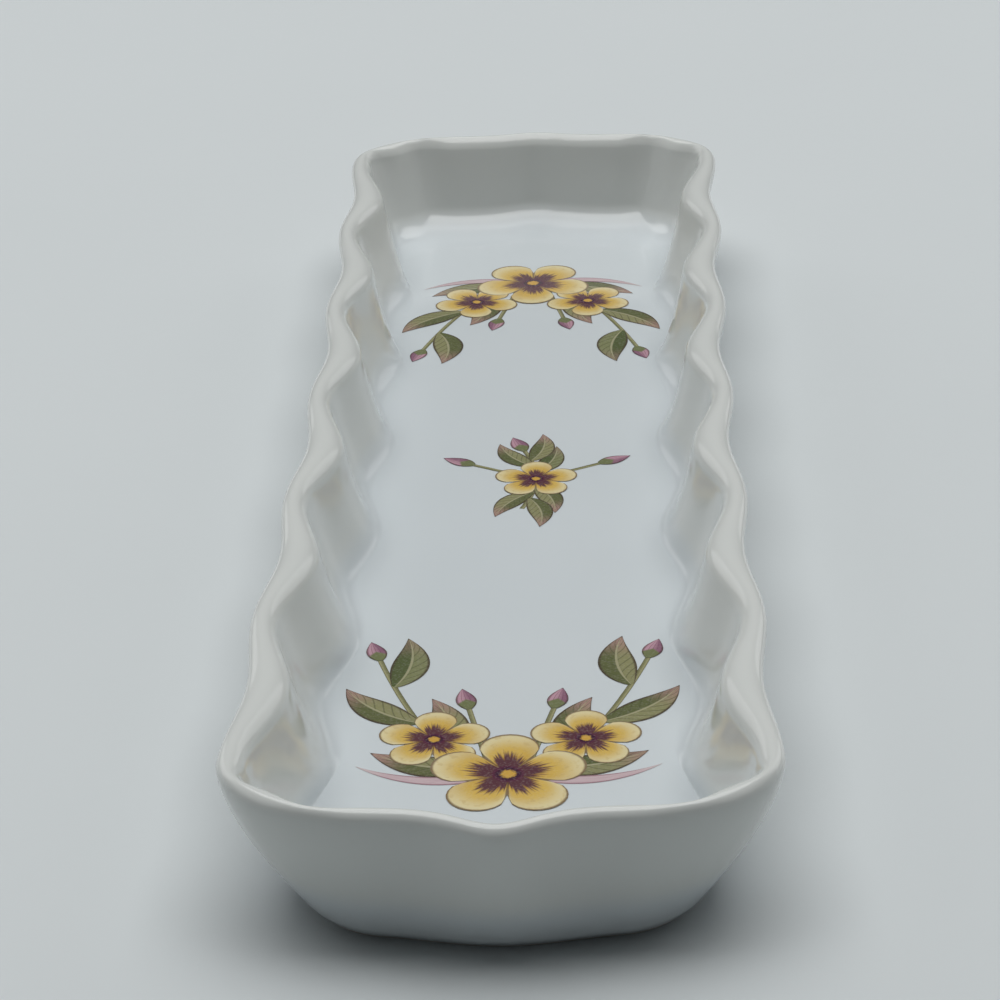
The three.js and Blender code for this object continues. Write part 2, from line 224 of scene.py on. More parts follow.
# The inks. A run is a range along a sheet from root to tip, a side is a range across it, and an edge is a
# range within a pattern. Each goes from where a tone sets in to where it is full, and a share says how much
# of the tone is laid on there.
INK_ROUGHNESS = 0.1
INK_ROUGHNESS_SPREAD = 0.06
INK_GRAIN_SCALE = 2600.0
INK_GRAIN_EDGE = (0.45, 0.75)
INK_GRAIN_SHARE = 0.12
LEAF_LIGHT_SIDE = (-0.12, 0.2)
LEAF_TIP_RUN = (0.55, 0.95)
LEAF_TIP_SHARE = 0.35
LEAF_TIP_SPREAD = 0.55
LEAF_RIBS = 8
LEAF_RIB_SLANT = 0.22
LEAF_RIB_EDGE = (0.36, 0.47)
LEAF_RIB_RUN = (0.05, 0.16)
LEAF_RIB_SHARE = 0.6
LEAF_SPINE_SIDE = (0.1, 0.04)
LEAF_SPINE_SHARE = 0.75
LEAF_LINE_SIDE = (0.8, 0.93)
LEAF_LINE_RUN = (0.955, 0.985)
LEAF_LINE_SHARE = 0.85
PETAL_GOLD_RUN = (0.2, 0.55)
PETAL_CREAM_RUN = (0.55, 0.95)
PETAL_SHADE_SIDE = (0.1, 0.9)
PETAL_SHADE_SHARE = 0.2
PETAL_SHADE_SPREAD = 0.3
PETAL_RAY_SQUEEZE = 5
PETAL_RAY_SHIFT = 7.3
PETAL_RAY_SCALE = 1.7
PETAL_RAY_REACH = 0.25
PETAL_RAY_SPREAD = 0.55
PETAL_RAY_FADE = 0.2
PETAL_RAY_SHARE = 0.9
PETAL_FOLD_SCALE = 9.0
PETAL_FOLD_EDGE = (0.52, 0.7)
PETAL_FOLD_RUN = (0.4, 0.7)
PETAL_FOLD_SHARE = 0.35
PETAL_LINE_SIDE = (0.9, 0.97)
PETAL_LINE_RUN = (0.94, 0.98)
PETAL_LINE_SHARE = 0.8
EYE_BREAK_SCALE = 9.0
EYE_BREAK_DEPTH = 0.5
EYE_HEART_EDGE = (0.85, 0.6)
EYE_RIM_EDGE = (0.72, 0.95)
BUD_DEEP_SIDE = (-0.5, 0.6)
BUD_STROKES = 2.5
BUD_STROKE_EDGE = (0.33, 0.48)
BUD_STROKE_SHARE = 0.6
BUD_CUP_SLANT = 0.2
BUD_CUP_RUN = (0.52, 0.42)
BUD_LINE_SIDE = (0.78, 0.92)
BUD_LINE_RUN = (0.93, 0.97)
BUD_LINE_SHARE = 0.8
RIBBON_WASH_SCALE = 6.0
RIBBON_EDGE_SIDE = (0.55, 0.95)
RIBBON_TAIL_RUN = (0.75, 1.0)
RIBBON_TAIL_SHARE = 0.6
STALK_LIGHT_SIDE = (-0.4, 0.5)
STALK_LINE_SIDE = (0.6, 0.9)
STALK_LINE_SHARE = 0.7

# The studio: each light's place, aim, size and power, the dim room, the table and the camera.
LIGHTS = {
    "overhead_softbox": ((0, 0, 1.9), (0, 0, 0), (2.2, 0.8), 20),
    "back_softbox": ((0, 1.0, 1.9), (0, 1.0, 0), (2.2, 1.2), 20.6),
    "left_softbox": ((-2.0, 0.2, 0.85), (0, 0, 0), (3.0, 1.6), 5.35),
    "right_softbox": ((2.0, 0.2, 0.85), (0, 0, 0), (3.0, 1.6), 4.2),
    "left_back_softbox": ((-1.6, 1.6, 1.0), (0, 0, 0), (1.6, 1.6), 6),
    "right_back_softbox": ((1.6, 1.6, 1.0), (0, 0, 0), (1.6, 1.6), 6),
}
ROOM_TINT = colour(0.95, 0.98, 1.0)
ROOM_STRENGTH = 0.02
TABLE_HALF = 2.5
CAMERA_LENS = 108
CAMERA_SENSOR = 36
CAMERA_PLACE = (15.75 * MM, -487.1 * MM, 226.1 * MM)
CAMERA_PITCH = math.radians(90 - 24.67)
CAMERA_ROLL = math.radians(-1.76)
CAMERA_YAW = math.radians(2.34)


class Wire:
    """An output socket of a finish with arithmetic.
    Each operator adds one math node and gives its output."""

    def __init__(self, finish, socket):
        self.finish = finish
        self.socket = socket

    def output(self, name):
        """Another output of the same node."""
        return Wire(self.finish, self.socket.node.outputs[name])

    def __add__(self, other):
        return self.finish.math("ADD", self, other)

    __radd__ = __add__

    def __sub__(self, other):
        return self.finish.math("SUBTRACT", self, other)

    def __mul__(self, other):
        return self.finish.math("MULTIPLY", self, other)

    __rmul__ = __mul__

    def __abs__(self):
        return self.finish.math("ABSOLUTE", self)


class Finish:
    """One material, with its shader and the nodes that feed it."""

    def __init__(self, name):
        self.material = bpy.data.materials.new(name)
        self.material.use_nodes = True
        self.tree = self.material.node_tree
        self.shader = self.tree.nodes["Principled BSDF"]

    def feed(self, socket, value):
        """Links a wire to a socket, or sets the socket's own value."""
        if isinstance(value, Wire):
            self.tree.links.new(value.socket, socket)
        else:
            socket.default_value = value

    def node(self, kind, settings=None, sockets=None, output=0):
        """Adds a node of one kind, sets it up, feeds its sockets and gives one of its outputs."""
        made = self.tree.nodes.new(kind)
        for name, value in (settings or {}).items():
            setattr(made, name, value)
        for name, value in (sockets or {}).items():
            self.feed(made.inputs[name], value)
        return Wire(self, made.outputs[output])

    def math(self, operation, *values):
        return self.node("ShaderNodeMath", {"operation": operation}, dict(enumerate(values)))

    def step(self, value, low, high):
        """A soft step that is 0 at low and 1 at high."""
        settings = {"interpolation_type": "SMOOTHSTEP"}
        sockets = {"Value": value, "From Min": low, "From Max": high}
        return self.node("ShaderNodeMapRange", settings, sockets)

    def blend(self, share, first, second):
        """A colour that goes from the first to the second as the share goes from 0 to 1."""
        sockets = {0: share, 6: first, 7: second}
        return self.node("ShaderNodeMix", {"data_type": "RGBA"}, sockets, 2)

    def noise(self, place, scale, detail=2.0):
        sockets = {"Vector": place, "Scale": scale, "Detail": detail}
        return self.node("ShaderNodeTexNoise", {}, sockets, "Fac")

    def place(self, kind):
        return self.node("ShaderNodeTexCoord", {}, {}, kind)

    def set(self, name, value):
        self.feed(self.shader.inputs[name], value)


def sheet_place(finish):
    """A print sheet's own coordinates: its number, the share along it, and -1 to 1 across it."""
    spread = finish.node("ShaderNodeSeparateXYZ", {}, {"Vector": finish.place("UV")}, "X")
    number = finish.math("FLOOR", spread)
    along = finish.math("FRACT", spread)
    across = spread.output("Y") * 2 - 1
    return number, along, across


def sheet_chance(finish, number):
    """A number from 0 to 1 that differs from sheet to sheet."""
    return finish.node("ShaderNodeTexWhiteNoise", {"noise_dimensions": "1D"}, {"W": number + 0.5}, "Value")


def porcelain_glaze():
    """White porcelain under clear glaze, with faint clouding, a few pinholes and a bare foot face.
    The glaze is cooler and a little darker low down, as on the floor, and warmer higher up, on the walls
    and rim."""
    finish = Finish("porcelain_glaze")
    place = finish.place("Object")
    height = finish.node("ShaderNodeSeparateXYZ", {}, {"Vector": place}, "Z")
    cloud = finish.noise(place, CLOUD_SCALE, detail=3.0)
    # The tone changes with height only: cooler and a little darker below, warmer above.
    low_tone = finish.blend(cloud, *GLAZE_LOW_TONES)
    high_tone = finish.blend(cloud, *GLAZE_HIGH_TONES)
    glazed = finish.blend(finish.step(height, *GLAZE_TONE_HEIGHTS), low_tone, high_tone)
    cell = finish.node("ShaderNodeTexVoronoi", {}, {"Vector": place, "Scale": PINHOLE_SCALE}, "Distance")
    rare = finish.node("ShaderNodeSeparateColor", {}, {"Color": cell.output("Color")}, "Red")
    pinhole = finish.step(cell, *PINHOLE_EDGE) * finish.step(rare, *PINHOLE_RARITY)
    pitted = finish.blend(pinhole * PINHOLE_SHARE, glazed, GLAZE_PINHOLE)
    bare = finish.step(height, *BARE_FOOT_HEIGHTS)
    grain = finish.noise(place, CLAY_GRAIN_SCALE, detail=4.0)
    biscuit = finish.blend(grain, *BARE_CLAY)
    finish.set("Base Color", finish.blend(bare, pitted, biscuit))
    gloss = GLAZE_ROUGHNESS + GLAZE_ROUGHNESS_SPREAD * finish.noise(place, GLOSS_SCALE)
    finish.set("Roughness", gloss + bare * BARE_CLAY_ROUGHNESS)
    finish.set("IOR", GLAZE_IOR)
    ripple = finish.noise(place, RIPPLE_SCALE, detail=1.0)
    sockets = {"Strength": RIPPLE_STRENGTH, "Distance": RIPPLE_DEPTH, "Height": ripple}
    finish.set("Normal", finish.node("ShaderNodeBump", {}, sockets, "Normal"))
    return finish.material


def print_finish(name, ink):
    """A printed colour under the glaze, with fine ink grain."""
    finish = Finish(name)
    number, along, across = sheet_place(finish)
    grain = finish.noise(finish.place("Object"), INK_GRAIN_SCALE, detail=3.0)
    shade = ink(finish, number, along, across)
    speckle = finish.step(grain, *INK_GRAIN_EDGE) * INK_GRAIN_SHARE
    finish.set("Base Color", finish.blend(speckle, shade, INK_GRAIN))
    finish.set("Roughness", INK_ROUGHNESS + INK_ROUGHNESS_SPREAD * grain)
    finish.set("IOR", GLAZE_IOR)
    return finish.material


def leaf_ink(finish, number, along, across):
    """Olive leaf: a light half and a dark half, dark side veins and a pale spine.
    It has a mauve tip and a brown line round the edge."""
    chance = sheet_chance(finish, number)
    edge = abs(across)
    light = finish.blend(chance, *LEAF_LIGHT)
    dark = finish.blend(chance, *LEAF_DARK)
    half = finish.blend(finish.step(across, *LEAF_LIGHT_SIDE), dark, light)
    flush = finish.step(along, *LEAF_TIP_RUN) * (LEAF_TIP_SHARE + LEAF_TIP_SPREAD * chance)
    tip = finish.blend(flush, half, LEAF_TIP)
    ribs = finish.math("FRACT", (along - LEAF_RIB_SLANT * edge) * LEAF_RIBS)
    rib = finish.step(abs(ribs - 0.5), *LEAF_RIB_EDGE) * finish.step(along, *LEAF_RIB_RUN)
    veined = finish.blend(rib * LEAF_RIB_SHARE, tip, LEAF_RIB)
    spine = finish.step(edge, *LEAF_SPINE_SIDE)
    ribbed = finish.blend(spine * LEAF_SPINE_SHARE, veined, LEAF_SPINE)
    line = finish.math("MAXIMUM", finish.step(edge, *LEAF_LINE_SIDE), finish.step(along, *LEAF_LINE_RUN))
    return finish.blend(line * LEAF_LINE_SHARE, ribbed, LEAF_LINE)


def petal_ink(finish, number, along, across):
    """Yellow petal: amber root, golden middle and cream lip, with plum rays and a brown line round it."""
    chance = sheet_chance(finish, number)
    edge = abs(across)
    inner = finish.blend(finish.step(along, *PETAL_GOLD_RUN), PETAL_AMBER, PETAL_GOLD)
    outer = finish.blend(finish.step(along, *PETAL_CREAM_RUN), inner, PETAL_CREAM)
    shadow = finish.step(across, *PETAL_SHADE_SIDE) * (PETAL_SHADE_SHARE + PETAL_SHADE_SPREAD * chance)
    side = finish.blend(shadow, outer, PETAL_SHADE)
    fan = {"X": across * PETAL_RAY_SQUEEZE + number * PETAL_RAY_SHIFT, "Y": along}
    sockets = {
        "Vector": finish.node("ShaderNodeCombineXYZ", {}, fan),
        "Scale": PETAL_RAY_SCALE,
        "Detail": 3.0,
    }
    streak = finish.node("ShaderNodeTexNoise", {"noise_dimensions": "2D"}, sockets, "Fac")
    reach = PETAL_RAY_REACH + PETAL_RAY_SPREAD * streak
    ray = finish.step(along, reach, reach - PETAL_RAY_FADE)
    rayed = finish.blend(ray * PETAL_RAY_SHARE, side, PETAL_RAY)
    crease = finish.noise(finish.place("UV"), PETAL_FOLD_SCALE)
    fold = finish.step(crease, *PETAL_FOLD_EDGE) * finish.step(along, *PETAL_FOLD_RUN)
    folded = finish.blend(fold * PETAL_FOLD_SHARE, rayed, PETAL_FOLD)
    line = finish.math("MAXIMUM", finish.step(edge, *PETAL_LINE_SIDE), finish.step(along, *PETAL_LINE_RUN))
    return finish.blend(line * PETAL_LINE_SHARE, folded, PETAL_LINE)


def eye_ink(finish, number, along, across):
    """Blossom eye: plum disc with a broken golden centre."""
    side = along * 2 - 1
    far = finish.math("SQRT", side * side + across * across)
    rough = finish.noise(finish.place("UV"), EYE_BREAK_SCALE)
    heart = finish.step(far + rough * EYE_BREAK_DEPTH, *EYE_HEART_EDGE)
    disc = finish.blend(heart, EYE_DISC, EYE_HEART)
    return finish.blend(finish.step(far, *EYE_RIM_EDGE), disc, EYE_RIM)


def bud_ink(finish, number, along, across):
    """Closed bud: green cup at the stalk, mauve body with a pale side, darker strokes and a brown line."""
    edge = abs(across)
    body = finish.blend(finish.step(across, *BUD_DEEP_SIDE), BUD_PALE, BUD_DEEP)
    strokes = finish.math("FRACT", across * BUD_STROKES)
    stroke = finish.step(abs(strokes - 0.5), *BUD_STROKE_EDGE)
    stroked = finish.blend(stroke * BUD_STROKE_SHARE, body, BUD_STROKE)
    cup = finish.step(along + edge * BUD_CUP_SLANT, *BUD_CUP_RUN)
    cupped = finish.blend(cup, stroked, BUD_CUP)
    line = finish.math("MAXIMUM", finish.step(edge, *BUD_LINE_SIDE), finish.step(along, *BUD_LINE_RUN))
    return finish.blend(line * BUD_LINE_SHARE, cupped, BUD_LINE)


def ribbon_ink(finish, number, along, across):
    """Dusty pink ribbon: pale down the middle, with darker edges and a greyer tail."""
    edge = abs(across)
    wash = finish.blend(finish.noise(finish.place("UV"), RIBBON_WASH_SCALE), *RIBBON_WASH)
    edged = finish.blend(finish.step(edge, *RIBBON_EDGE_SIDE), wash, RIBBON_EDGE)
    tail = finish.step(along, *RIBBON_TAIL_RUN)
    return finish.blend(tail * RIBBON_TAIL_SHARE, edged, RIBBON_TAIL)


def stalk_ink(finish, number, along, across):
    """Olive stalk: lighter on one side, with dark edges."""
    tone = finish.blend(finish.step(across, *STALK_LIGHT_SIDE), *STALK_TONES)
    line = finish.step(abs(across), *STALK_LINE_SIDE)
    return finish.blend(line * STALK_LINE_SHARE, tone, STALK_LINE)


def table_finish():
    """Smooth pale table top with faint mottling."""
    finish = Finish("pale_table_top")
    place = finish.place("Object")
    mottle = finish.noise(place, TABLE_MOTTLE_SCALE, detail=3.0)
    finish.set("Base Color", finish.blend(mottle, *TABLE_TONES))
    grain = finish.noise(place, TABLE_GRAIN_SCALE)
    finish.set("Roughness", TABLE_ROUGHNESS + TABLE_ROUGHNESS_SPREAD * grain)
    return finish.material


def between(first, second, share):
    """Outlines part of the way from one outline to another, one for each share."""
    return {key: first[key] + (second[key] - first[key]) * share for key in first}


def inset(outline, distance):
    """The outline moved in by a distance all round."""
    moved = {key: value + 0 * distance for key, value in outline.items()}
    for key in ("width", "length", "across", "along"):
        moved[key] = outline[key] - distance
    return moved


def rings(outline, height):
    """Closed rings of points, one for each height.
    A quarter runs up the side, whose x is the half width less a slow swell and a cosine scallop, round an
    elliptic corner pressed out by squared-sine flutes, and along the end, whose y is the half length plus a
    point at the middle. The point and the dip of the rim there follow the square of a hyperbolic secant
    of x."""
    level = np.asarray(height, float).reshape(-1, 1)
    size = {key: np.reshape(value, (-1, 1)) + 0 * level for key, value in outline.items()}
    corner_x = size["width"] - size["across"]
    corner_y = size["length"] - size["along"]

    def bell(x):
        return 1 / np.cosh(x / size["reach"]) ** 2

    share = np.arange(SIDE_STEPS) / SIDE_STEPS
    swell = size["swell"] * (1 + np.cos(np.pi * share)) / 2
    scallop = size["scallop"] * (1 - np.cos(2 * np.pi * LOBES_PER_QUARTER * share))
    side_x = size["width"] - swell - scallop
    side_y = corner_y * share
    turn = np.pi / 2 * np.arange(CORNER_STEPS) / CORNER_STEPS
    flute = size["flute"] * np.sin(2 * CORNER_FLUTES * turn) ** 2
    corner = corner_x + (size["across"] + flute) * np.cos(turn)
    end = corner_x * np.linspace(1, 0, END_STEPS + 1)
    x = np.concatenate([side_x, corner, end], 1)
    y = np.concatenate(
        [
            side_y,
            corner_y + (size["along"] + flute) * np.sin(turn) + size["point"] * bell(corner),
            size["length"] + size["point"] * bell(end),
        ],
        1,
    )
    half_x = np.concatenate([x, -x[:, -2:0:-1]], 1)
    half_y = np.concatenate([y, y[:, -2:0:-1]], 1)
    ring_x = np.concatenate([half_x, -half_x], 1)
    ring_y = np.concatenate([half_y, -half_y], 1)
    return np.stack([ring_x, ring_y, level - size["dip"] * bell(ring_x)], 2)


def end_run_share(rise, depth, run):
    """How far the inside of an end has run out at shares of its depth, as a share of its whole run.
    It is an elliptic cove, then a straight wall that leaves the cove along its tangent."""
    squeezed = run * END_COVE_RISE / END_COVE_REACH
    tangent = math.sqrt(squeezed**2 + depth**2 - 2 * depth * END_COVE_RISE)
    bend = math.atan2(depth - END_COVE_RISE, squeezed) + math.atan2(END_COVE_RISE, tangent)
    bend_run = END_COVE_REACH * math.sin(bend)
    bend_height = END_COVE_RISE * (1 - math.cos(bend))
    height = depth * rise
    angle = np.arccos(1 - np.minimum(height, bend_height) / END_COVE_RISE)
    wall = bend_run + (run - bend_run) * (height - bend_height) / (depth - bend_height)
    return np.where(height < bend_height, END_COVE_REACH * np.sin(angle), wall) / run


def tray_levels():
    """The tray's profile as rings: floor edge, up the inside, over the round lip, down the outside, foot.
    The inside is a power-law cove along the sides and an elliptic cove with a straight wall at the ends.
    The lip is two quarter rounds. Its inner round leaves a side wall at that wall's own lean, and at the
    ends it is a superellipse near to a bevel. The outside is a belly that leans out, and the foot edges
    are rounded. A narrow flat border runs inside the floor's edge and inside the foot ring."""
    rim_thickness = LIP_INSIDE_ROUND + LIP_OUTSIDE_ROUND
    rim_inside = inset(RIM_OUTSIDE, rim_thickness)
    rim_inside["scallop"] = INSIDE_SCALLOP
    rim_inside["flute"] = CORNER_FLUTE_DEPTH
    depth = TRAY_HEIGHT - LIP_INSIDE_ROUND - FLOOR_TOP
    rise = np.linspace(0, 1, INSIDE_STEPS + 1) ** INSIDE_SPACING_POWER
    inside = between(FLOOR_EDGE, rim_inside, rise ** (1 / SIDE_COVE_POWER))
    end_share = end_run_share(rise, depth, rim_inside["length"] - FLOOR_EDGE["length"])
    ends = between(FLOOR_EDGE, rim_inside, end_share)
    inside.update({key: ends[key] for key in ("length", "along", "point")})
    inside["dip"] = rim_inside["dip"] * rise
    arc = np.linspace(np.pi, 0, LIP_STEPS + 1)[1:]
    rounding = np.where(arc > np.pi / 2, LIP_INSIDE_ROUND, LIP_OUTSIDE_ROUND)
    lip_share = (LIP_INSIDE_ROUND + rounding * np.cos(arc)) / rim_thickness
    lift = np.where(arc > np.pi / 2, np.sin(arc), 1)
    easing = LIP_INSIDE_ROUND * lift * (1 - lift) / rim_thickness
    side_lean = (rim_inside["width"] - FLOOR_EDGE["width"]) / (SIDE_COVE_POWER * depth)
    bevel = 1 - (1 - lift**END_LIP_POWER) ** (1 / END_LIP_POWER)
    bevel_share = np.where(arc > np.pi / 2, LIP_INSIDE_ROUND * bevel / rim_thickness, lip_share)
    lip = between(rim_inside, RIM_OUTSIDE, lip_share + side_lean * easing)
    lip_ends = between(rim_inside, RIM_OUTSIDE, bevel_share)
    lip.update({key: lip_ends[key] for key in ("length", "along", "point")})
    drop = np.linspace(0, 1, OUTSIDE_STEPS + 1)[1:]
    outside_top = TRAY_HEIGHT - LIP_OUTSIDE_ROUND
    outside_height = outside_top + (FOOT_HEIGHT + WALL_EDGE_ROUND - outside_top) * drop
    fall = (outside_top - outside_height) / (outside_top - FOOT_HEIGHT)
    bend = np.linspace(0, np.pi / 2, EDGE_STEPS + 1)
    under = WALL_EDGE_ROUND * (1 - np.cos(bend[1:]))
    under_height = FOOT_HEIGHT + WALL_EDGE_ROUND * (1 - np.sin(bend[1:]))
    tight = FOOT_EDGE_ROUND
    foot_in = np.concatenate([
        [FOOT_INSET],
        FOOT_INSET + tight * (1 - np.cos(bend)),
        FOOT_INSET + FOOT_FACE - tight * (1 - np.sin(bend)),
        [FOOT_INSET + FOOT_FACE, FOOT_INSET + FOOT_FACE + FLAT_BORDER],
    ])
    foot_height = np.concatenate([
        [FOOT_HEIGHT],
        tight * (1 - np.sin(bend)),
        tight * (1 - np.cos(bend)),
        [FOOT_RECESS, FOOT_RECESS],
    ])
    parts = [
        rings(inset(FLOOR_EDGE, np.array([FLAT_BORDER])), [FLOOR_TOP]),
        rings(inside, FLOOR_TOP + depth * rise),
        rings(lip, TRAY_HEIGHT - rounding * (1 - np.sin(arc))),
        rings(between(RIM_OUTSIDE, WALL_FOOT, fall**WALL_BELLY_POWER), outside_height),
        rings(inset(WALL_FOOT, under), under_height),
        rings(inset(WALL_FOOT, foot_in), foot_height),
    ]
    return np.concatenate(parts, 0)


def mesh_object(name, points, faces, material, uv=None):
    """A smooth-shaded mesh with one material, linked to the scene."""
    mesh = bpy.data.meshes.new(name)
    mesh.from_pydata(points.tolist(), [], faces)
    mesh.polygons.foreach_set("use_smooth", np.ones(len(mesh.polygons), bool))
    if uv is not None:
        corners = np.empty(len(mesh.loops), np.int32)
        mesh.loops.foreach_get("vertex_index", corners)
        mesh.uv_layers.new(name="sheet").data.foreach_set("uv", uv[corners].ravel())
    mesh.materials.append(material)
    made = bpy.data.objects.new(name, mesh)
    bpy.context.scene.collection.objects.link(made)
    return made


def cap_faces(around):
    """A flat cap on a ring: a ladder of quads between the points that mirror each other.
    A triangle closes each end."""
    step = np.arange(-around // 4, around // 4 + 1)
    right = step % around
    left = (around // 2 - step) % around
    faces = np.stack([right[:-1], right[1:], left[1:], left[:-1]], 1).tolist()
    faces[0].pop()
    faces[-1].pop(2)
    return faces


def tray_object(material):
    """The tray as one closed surface: the rings joined in order.
    A flat cap closes the floor and another the underside."""
    levels = tray_levels()
    count, around = levels.shape[:2]
    index = np.arange(count * around).reshape(count, around)
    following = np.roll(index, -1, 1)
    walls = np.stack([index[:-1], index[1:], following[1:], following[:-1]], 2).reshape(-1, 4)
    floor = cap_faces(around)
    underside = [[index[-1, corner] for corner in reversed(face)] for face in floor]
    faces = walls.tolist() + floor + underside
    return mesh_object("tray_porcelain", levels.reshape(-1, 3), faces, material)


def heading_of(angle):
    """The unit direction at an angle in the floor's plane."""
    return np.stack([np.cos(angle), np.sin(angle)], -1)


def angle_of(way):
    """The angle of a direction in the floor's plane."""
    return np.arctan2(way[..., 1], way[..., 0])


def stem(ends):
    """A stem drawn as a quadratic curve: gives its point and its direction at shares of its length."""
    first, pull, last = np.array(ends, float)

    def at(share):
        t = np.asarray(share, float)[..., None]
        return (1 - t) ** 2 * first + 2 * t * (1 - t) * pull + t**2 * last

    def way(share):
        t = np.asarray(share, float)[..., None]
        return (1 - t) * (pull - first) + t * (last - pull)

    return at, way


def blades(root, heading, size, bend, along_steps=28, across_steps=9):
    """Leaf-shaped sheets: a spine that bends steadily away from its root.
    The width is a stalk's width that tapers evenly to the tip, plus a sine whose top lies nearer to the
    root."""
    length, width = size
    along = np.linspace(0, 1, along_steps)
    across = np.linspace(-1, 1, across_steps)
    turn = np.reshape(heading, (-1, 1)) + np.reshape(bend, (-1, 1)) * along
    spine = np.reshape(root, (-1, 1, 2)) + length * along[:, None] * heading_of(turn)
    taper = 1 - (1 - BLADE_TIP_SHARE) * along
    swelling = np.sin(np.pi * along**BLADE_SWELL_POWER)
    half = (STALK_WIDTH * taper + (width - STALK_WIDTH) * swelling) / 2
    normal = heading_of(turn + np.arctan(np.reshape(bend, (-1, 1)) * along) + np.pi / 2)
    return spine[:, :, None] - across[:, None] * half[:, None, None] * normal[:, :, None]


def stalks(at, way, steps=48):
    """A stalk of even width along a curve."""
    along = np.linspace(0, 1, steps)
    across = np.linspace(-1, 1, 3)
    normal = heading_of(angle_of(way(along)) + np.pi / 2)
    return (at(along)[:, None] - across[:, None] * STALK_WIDTH / 2 * normal[:, None])[None]


def petals(middle, radius, along_steps=16, across_steps=15):
    """Petals of a blossom, each a sector of one fifth of a turn.
    The rim swells with the square root of a cosine."""
    along = np.linspace(PETAL_START_SHARE, 1, along_steps)
    across = np.linspace(-1, 1, across_steps)
    swing = across * np.pi / PETALS
    lobe = np.sqrt(np.abs(np.cos(PETALS / 2 * swing)))
    rim = radius * (PETAL_ROOT_SHARE + (1 - PETAL_ROOT_SHARE) * lobe)
    facing = np.pi / 2 + 2 * np.pi * np.arange(PETALS) / PETALS
    ray = heading_of(facing[:, None] - swing)
    return middle + along[:, None, None] * (rim[:, None] * ray)[:, None]


def eye(middle, radius, steps=13):
    """A disc made from a square grid whose lines are bowed out to the circle."""
    line = np.linspace(-1, 1, steps)
    u, v = np.meshgrid(line, line, indexing="ij")
    disc = np.stack([u * np.sqrt(1 - v**2 / 2), -v * np.sqrt(1 - u**2 / 2)], 2)
    return (middle + radius * disc)[None]


def leaf_sheets(at, way, count, size):
    """Leaves on both halves of a stem, on alternate sides.
    Each is turned out from the stem's own direction."""
    half = np.repeat([-1, 1], count)
    order = np.tile(np.arange(count), 2)
    place = 0.5 + half * (LEAF_START_SHARE + LEAF_STEP_SHARE * order)
    side = np.where(order % 2, half, -half)
    heading = angle_of(way(place) * half[:, None]) + side * LEAF_SPREAD_ANGLE
    return blades(at(place), heading, size, -side * LEAF_BEND_ANGLE)


def bud_branch(root, heading, length):
    """A straight side stalk and the bud at its end."""
    tip = root + length * heading_of(heading)
    at, way = stem((root, (root + tip) / 2, tip))
    return stalks(at, way, steps=8), blades(tip, heading, BUD, bend=0.0)


def spray_drawing():
    """The large spray: a hanging stem with leaves, three blossoms, buds and two ribbons."""
    at, way = stem(SPRAY_STEM)
    side = np.array([-1, 1])
    bud_roots = at(0.5 + side * BUD_STALK_SHARE)
    bud_headings = np.pi / 2 - side * SPRAY_BUD_LEAN_ANGLE
    branches = [bud_branch(*branch, SPRAY_BUD_STALK) for branch in zip(bud_roots, bud_headings)]
    ends = (1 + side) / 2
    end_buds = blades(at(ends), angle_of(way(ends) * side[:, None]), BUD, np.zeros(2))
    ribbon_headings = np.pi / 2 - side * (np.pi / 2 + RIBBON_DROP_ANGLE)
    ribbons = blades(at(0.5 + side * RIBBON_SHARE), ribbon_headings, RIBBON, side * RIBBON_BEND_ANGLE)
    side_middles = at(0.5 + side * SIDE_BLOSSOM_SHARE)
    return {
        "stem": [stalks(at, way)],
        "bud_stalks": [branch[0] for branch in branches],
        "ribbons": [ribbons],
        "leaves": [leaf_sheets(at, way, SPRAY_LEAVES, SPRAY_LEAF)],
        "buds": [end_buds] + [branch[1] for branch in branches],
        "side_petals": [petals(middle, SIDE_BLOSSOM) for middle in side_middles],
        "main_petals": [petals(at(0.5), MAIN_BLOSSOM)],
        "eyes": [eye(middle, SIDE_BLOSSOM * EYE_SHARE) for middle in side_middles]
        + [eye(at(0.5), MAIN_BLOSSOM * EYE_SHARE)],
    }


def sprig_drawing():
    """The small sprig: an upright stem with leaves, one blossom and three buds."""
    at, way = stem(SPRIG_STEM)
    bud_headings = np.pi / 2 - np.array([-1, 1]) * SPRIG_BUD_LEAN_ANGLE
    branches = [bud_branch(at(0.5), heading, SPRIG_BUD_STALK) for heading in bud_headings]
    return {
        "stem": [stalks(at, way)],
        "bud_stalks": [branch[0] for branch in branches],
        "leaves": [leaf_sheets(at, way, SPRIG_LEAVES, SPRIG_LEAF)],
        "buds": [blades(at(1.0), angle_of(way(1.0)), BUD, bend=0.0)] + [branch[1] for branch in branches],
        "main_petals": [petals(at(0.5), SPRIG_BLOSSOM)],
        "eyes": [eye(at(0.5), SPRIG_BLOSSOM * EYE_SHARE)],
    }


def placed(drawing, place, turn):
    """The drawing moved along the tray to a place in y.
    It lies as drawn for turn 1 and is turned half round for turn -1."""
    return {key: [sheets * turn + [0, place] for sheets in group] for key, group in drawing.items()}


